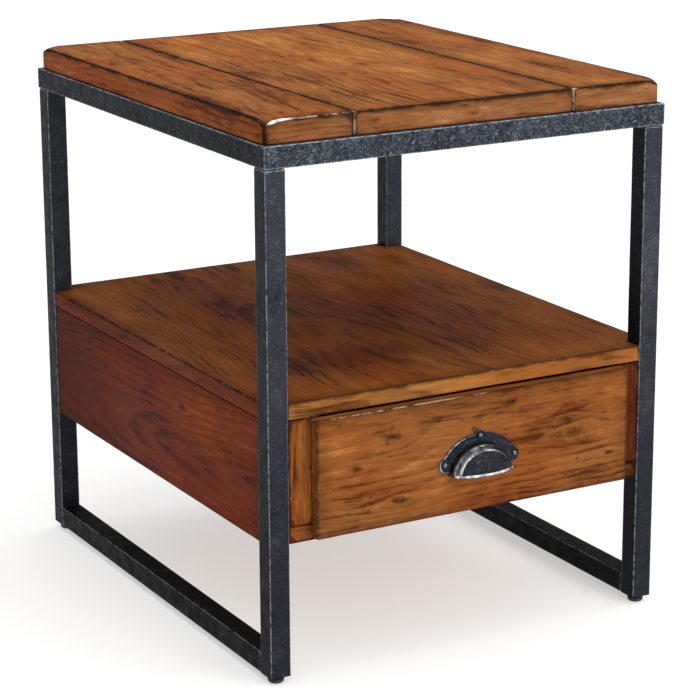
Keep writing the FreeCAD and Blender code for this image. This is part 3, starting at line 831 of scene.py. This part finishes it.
def make_drawer_front():
    """Overlay drawer front with knots and a pale, rubbed top edge."""
    low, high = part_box("drawer_front")
    tones = (rgb(80, 40, 18), rgb(138, 84, 42), rgb(176, 116, 62))
    face = low.y
    wide = high.x - low.x
    tall = high.z - low.z
    # Knots: how far across from the left, how far down, and radius in mm.
    spots = [(0.23, 0.24, 6), (0.12, 0.46, 3.5), (0.61, 0.12, 3), (0.80, 0.36, 3.5), (0.82, 0.48, 7),
             (0.94, 0.72, 3), (0.26, 0.80, 5)]
    knots = [(Vector((low.x + u * wide, face, high.z - v * tall)), r * MM) for u, v, r in spots]

    def wear_and_highlight(place):
        """Rubbed pale along the left part of the top edge."""
        along = (place.x - low.x) / wide
        fade = max(0.0, min(1.0, 2.4 - 4 * along)) * min(1.0, 0.3 + 5 * along)
        return (0.74 if place.y < face + 4 * MM else 0.6) * fade * (place.z > high.z - 2 * MM)

    board = timber("drawer_front", DRAWER, 1.8 * MM, 7 * MM, wave=0.2 * MM, seed=9.0, wear_and_highlight=wear_and_highlight)
    material = wood("wood_drawer_front", "x", tones, (6.0, 1.0, 0.3), knots, (-0.25, 0.29), pitch=7.0,
                    burn=0.5, bright=0.15, shade=0.4)
    paint(board, material)


def make_pull():
    """Cast cup pull: back plate with three lobes and a raised rim, stepped cup and a rolled lip."""
    low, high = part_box("cup_pull")
    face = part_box("drawer_front")[0].y
    x0 = (low.x + high.x) / 2
    lip_z = low.z
    pin_spread, side_pins, top_pin = 50 * MM, 15.5 * MM, 46 * MM
    cup_half, cup_rise, plate_foot, plate_field = 43 * MM, 36.5 * MM, 5.5 * MM, 2.0 * MM
    head = [(0, 0), (3.4, 0), (3.4, 0.6), (3.1, 1.8), (2.4, 2.9), (1.3, 3.6), (0, 3.8)]
    pins = [(x0 + x, lip_z + z) for x, z in ((-pin_spread, side_pins), (pin_spread, side_pins), (0, top_pin))]
    dark = steel("pull_plate_iron", rgb(44, 46, 51), hammer=0.4, rough=0.40, wear_and_highlight=0.85, metallic=0.6,
                 side_shade=0.8, foot=1.0, shine=(0.58, 0.60, 0.64))
    iron = steel("pull_iron", rgb(38, 40, 45), hammer=0.45, rough=0.34, wear_and_highlight=0.95, metallic=0.8, fleck=0.2,
                 side_shade=0.8, foot=1.0, shine=(0.72, 0.74, 0.78))
    # Painted highlight: the pin heads take a much lighter copy of the pull's iron.
    pin_highlight_iron = steel("pull_pin_iron", rgb(104, 110, 120), hammer=0.25, rough=0.26, wear_and_highlight=0.5, metallic=0.9,
                 side_shade=1.0, foot=1.0)
    paint(pull_plate(x0, face, lip_z + plate_foot, pins), dark)
    paint(pull_cup(x0, face, lip_z, cup_half, cup_rise), iron)
    profile = [(r * MM, h * MM) for r, h in head]
    for n, (x, z) in enumerate(pins):
        seat = (x, face - plate_field, z)
        pin = lathe("pull_pin_%d" % n, profile, seat, (0, -1, 0), DRAWER, ["pull_pins"], 20)
        paint(pin, pin_highlight_iron)


def pull_plate(x0, face, base_z, pins):
    """Back plate, as rings that step in from its outline: edge, raised rim, shallow field."""
    centre = (x0, base_z + 13 * MM)
    wide, tall, lobe = 55.5 * MM, 43 * MM, 7.6 * MM

    def inside(x, z):
        if z >= base_z and ((x - x0) / wide) ** 2 + ((z - base_z) / tall) ** 2 <= 1:
            return True
        return any(hypot(x - px, z - pz) <= lobe for px, pz in pins)

    count = 144
    outline = []
    for n in range(count):
        turn = 2 * pi * n / count
        r = 5 * MM
        while inside(centre[0] + r * cos(turn), centre[1] + r * sin(turn)):
            r += 0.1 * MM
        outline.append(r)
    smooth = [(outline[n - 1] + 2 * outline[n] + outline[(n + 1) % count]) / 4 for n in range(count)]
    # Each ring's distance in from the outline and height off the drawer front, in mm.
    steps = [(0, 0), (0, 1.3), (0.25, 2.0), (0.8, 2.5), (1.5, 2.6), (2.3, 2.3), (3.2, 1.9), (5.0, 1.8)]
    points = []
    gaps = []
    for inset, height in steps:
        for n, r in enumerate(smooth):
            turn = 2 * pi * n / count
            r = r - inset * MM
            points.append(Vector((centre[0] + r * cos(turn), face - height * MM, centre[1] + r * sin(turn))))
            # Painted highlight: the rim's rubbed line fades from the lower left round to the upper right.
            glint_falloff = 1.3 * (0.5 + 0.5 * cos(turn - radians(35)))
            gaps.append(abs(inset - 0.8) + glint_falloff)
    rings = [list(range(s * count, (s + 1) * count)) for s in range(len(steps))]
    faces = []
    for one, two in zip(rings, rings[1:]):
        faces += between(one, two)
    faces.append(rings[-1])
    faces.append(rings[0][::-1])
    return add_mesh("cup_pull_plate", points, faces, {"gap": gaps}, DRAWER, ["cup_pull"])


def pull_cup(x0, face, z0, cup_half, rise):
    """Stepped cup, open underneath. Its meridians run from the plate to the middle of the lip."""
    # Share of the cup's half width, and distance out from the drawer front in mm.
    profile = [(1.0, 1.5), (1.0, 4.0), (0.99, 6.5), (0.975, 9.0), (0.955, 11.3), (0.93, 13.4),
               (0.905, 14.9), (0.885, 15.6), (0.865, 15.7), (0.845, 15.6), (0.82, 16.2), (0.78, 17.5),
               (0.71, 19.3), (0.60, 21.3), (0.46, 23.0), (0.31, 24.0), (0.16, 24.5), (0.0, 24.6)]
    ridge_at, ridge_end, shoulder_at, slope = 0.83, 0.91, 0.955, 30
    plain = 30.0
    thick = 1.8 * MM
    across = 48
    points = []
    gaps = []
    rows = []
    for skin in (0, 1):
        for rho, out in profile:
            row = []
            for n in range(across + 1):
                turn = pi * n / across
                p = Vector((-rho * cup_half * cos(turn), face - out * MM, rho * rise * sin(turn)))
                if skin:
                    p.x *= 1 - thick / cup_half
                    p.y += thick * min(1, out / 12)
                    p.z *= 1 - thick / rise
                row.append(len(points))
                points.append(p + Vector((x0, 0, z0)))
                # Painted highlight: the rubbed lines on the ridge and shoulder, and the band between ridge
                # and shoulder, are brightest on the cup's left half and fade to the right.
                glint_falloff = 0.9 * max(0.0, -cos(turn)) + 0.2
                ridge = abs(rho - ridge_at) * slope + glint_falloff
                shoulder = abs(rho - shoulder_at) * slope + glint_falloff + 0.3
                band = 0.95 + glint_falloff if ridge_at < rho < ridge_end else plain
                gaps.append(plain if skin else min(ridge, shoulder, band))
            rows.append(row)
    count = len(profile)
    faces = []
    for skin in (0, 1):
        for s in range(count - 1):
            one, two = rows[skin * count + s], rows[skin * count + s + 1]
            for n in range(across):
                quad = [one[n], two[n], two[n + 1], one[n + 1]]
                faces.append(quad[::-1] if skin else quad)
    for s in range(count - 1):
        for n in (0, across):
            quad = [rows[s][n], rows[s + 1][n], rows[count + s + 1][n], rows[count + s][n]]
            faces.append(quad if n else quad[::-1])
    for n in range(across):
        faces.append([rows[0][n], rows[0][n + 1], rows[count][n + 1], rows[count][n]])

    # Rolled lip along the cup's lower edge.
    around = 12
    r = 1.9 * MM
    lip_rings = []
    path = [(-rho, out) for rho, out in profile] + [(rho, out) for rho, out in profile[-2::-1]]
    for u, out in path:
        outward = Vector((u, -(1 - abs(u)) - 0.15, 0)).normalized()
        heart = Vector((x0 + u * cup_half * 0.985, face - (out - 0.6) * MM, z0 + r))
        ring = []
        for k in range(around):
            turn = 2 * pi * k / around
            ring.append(len(points))
            points.append(heart + outward * r * cos(turn) + Vector((0, 0, 1)) * r * sin(turn))
            gaps.append(0.3 if out > 13 else 1.2)
        lip_rings.append(ring)
    for one, two in zip(lip_rings, lip_rings[1:]):
        for a, b, c, d in between(one, two):
            faces.append([a, d, c, b])
    faces.append(lip_rings[0])
    faces.append(lip_rings[-1][::-1])
    return add_mesh("cup_pull_cup", points, faces, {"gap": gaps}, DRAWER, ["cup_pull"])


def make_glides():
    """Four round glides with a chamfered foot, in place of the CAD group."""
    plastic = moulded("glide_plastic", (0.02, 0.02, 0.022), 0.5)
    stand = [(0, 0), (7.6, 0), (8.6, 0.3), (9.6, 1.5), (10, 2.6), (10, 4.4), (9.4, 5.2), (6.5, 5.6),
             (6.5, 9.0), (0, 9.0)]
    profile = [(r * MM, h * MM) for r, h in stand]
    for corner in CORNERS:
        at = middle("leg_" + corner)
        glide = lathe("glide_" + corner, profile, (at.x, at.y, 0), (0, 0, 1), ROOT, ["floor_glides"], 32)
        paint(glide, plastic)


def soften(node, width):
    """Welds and bevels a CAD node's skin without changing its own mesh."""
    piece = nodes[node]
    piece.modifiers.new("weld", "WELD").merge_threshold = 0.00001
    bevel = piece.modifiers.new("bevel", "BEVEL")
    bevel.width = width
    bevel.segments = 2
    bevel.limit_method = "ANGLE"
    bevel.angle_limit = radians(35)


def dress_cad():
    """Materials for the CAD nodes that stay: hidden wood, drawer box, slides, screws and steel plates."""
    materials = {
        "zinc_steel": plain_metal("zinc_steel", (0.62, 0.63, 0.65), 0.30),
        "blackened_steel": steel("steel_plates", rgb(40, 42, 47), hammer=0.4, rough=0.5, wear_and_highlight=0.0, fleck=0.1),
        "buffer_rubber": moulded("buffer_rubber", (0.45, 0.45, 0.43), 0.4),
    }
    pale = (rgb(150, 112, 70), rgb(188, 148, 100), rgb(214, 178, 128))
    hidden = {grain: wood("wood_inner_" + grain, grain, pale, (n * 2.0, 1.0, n), burn=0.0, shade=0.0)
              for n, grain in enumerate("xy")}
    for sub in frame["record"]["subparts"]:
        node, slot = sub["node"], sub["material_slot"]
        piece = nodes[node]
        if slot == "inner_wood":
            low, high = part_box(node)
            material = hidden["x" if high.x - low.x > high.y - low.y else "y"]
            soften(node, 0.6 * MM)
        elif slot in materials:
            material = materials[slot]
        else:
            continue
        piece.data.materials.clear()
        piece.data.materials.append(material)


# ------------------------------------------------------------------ scene
def make_floor():
    """A wide pale floor."""
    size, cuts = 60.0, 12
    points = []
    for i in range(cuts + 1):
        for j in range(cuts + 1):
            points.append(Vector((size * (i / cuts - 0.5), size * (j / cuts - 0.5), 0)))
    faces = []
    for i in range(cuts):
        for j in range(cuts):
            k = i * (cuts + 1) + j
            faces.append([k, k + cuts + 1, k + cuts + 2, k + 1])
    floor = mesh_object("floor", points, faces)
    g = Graph("floor")
    pale = g.finish(base_color=(0.50, 0.50, 0.50), roughness=0.9, specular_ior_level=0.1,
                    emission_color=(1.0, 1.0, 1.0), emission_strength=0.49)
    floor.data.materials.append(pale)


def make_backdrop():
    """A far, plain white wall all round, which only the camera sees: it adds no light."""
    radius, tall, around = 29, 25.0, 48
    points = []
    for height in (0.0, tall):
        for n in range(around):
            turn = 2 * pi * n / around
            points.append((radius * cos(turn), radius * sin(turn), height))
    faces = [[n, (n + 1) % around, around + (n + 1) % around, around + n] for n in range(around)]
    backdrop = mesh_object("backdrop", points, faces)
    for ray in ("diffuse", "glossy", "transmission", "volume_scatter", "shadow"):
        setattr(backdrop, "visible_" + ray, False)
    g = Graph("backdrop")
    white = g.finish(base_color=(0, 0, 0), roughness=1.0, specular_ior_level=0.0,
                     emission_color=(1.0, 1.0, 1.0), emission_strength=1.0)
    backdrop.data.materials.append(white)


def area_light(name, place, aim, size, power):
    """A rectangular soft box that points at aim."""
    light = bpy.data.lights.new(name, "AREA")
    light.shape = "RECTANGLE"
    light.size, light.size_y = size
    light.energy = power
    lamp = bpy.data.objects.new(name, light)
    lamp.location = place
    lamp.rotation_euler = (Vector(aim) - Vector(place)).to_track_quat("-Z", "Y").to_euler()
    bpy.context.scene.collection.objects.link(lamp)


def make_sky():
    """Studio surround: bright overhead, dim at the table's level, a little brighter at the front right."""
    world = bpy.data.worlds.new("studio")
    bpy.context.scene.world = world
    g = Graph("studio", world)
    x, y, z = g.node("SeparateXYZ", {0: g.node("TexCoord").outputs["Generated"]}).outputs
    overhead = g.math("MULTIPLY_ADD", g.math("MULTIPLY", z, z), 2.1, 0.16)
    side = g.math("MULTIPLY_ADD", x, 0.30, g.math("MULTIPLY_ADD", y, -0.30, 1.0))
    g.finish(strength=g.math("MULTIPLY", overhead, side), color=(1.0, 1.0, 1.0))


def light_scene():
    """Large soft boxes: front right, overhead, and a weak one on the left."""
    make_sky()
    aim = (0, 0, 0.35)
    area_light("overhead", (0.3, -0.2, 3.4), aim, (3.4, 3.0), 12)
    area_light("front_right", (1.6, -3.6, 1.7), aim, (2.0, 2.0), 60)
    area_light("left_fill", (-3.4, -1.2, 1.6), aim, (2.0, 2.0), 3)


def make_camera():
    """Camera at the product view: a little above the top, from the front left."""
    data = bpy.data.cameras.new("camera")
    data.lens = 125.87
    data.sensor_width = 36
    data.shift_x = 0.0214
    data.shift_y = -0.05
    data.clip_start, data.clip_end = 0.1, 50
    camera = bpy.data.objects.new("camera", data)
    camera.location = Vector((-1.5344, -2.7406, 1.1825)) + table_middle
    heading, pitch, roll = 0.50912, -0.25966, -0.00597
    ahead = Vector((sin(heading) * cos(pitch), cos(heading) * cos(pitch), sin(pitch)))
    aim = ahead.to_track_quat("-Z", "Y").to_matrix()
    camera.rotation_euler = (aim @ Matrix.Rotation(roll, 3, "Z")).to_euler()
    bpy.context.scene.collection.objects.link(camera)
    bpy.context.scene.camera = camera


make_camera()
light_scene()
make_floor()
make_backdrop()
weld_face = make_tubes()
make_welds(weld_face)
make_top()
make_shelf()
make_case()
make_drawer_front()
make_pull()
make_glides()
dress_cad()
bpy.context.scene.view_settings.view_transform = "Standard"
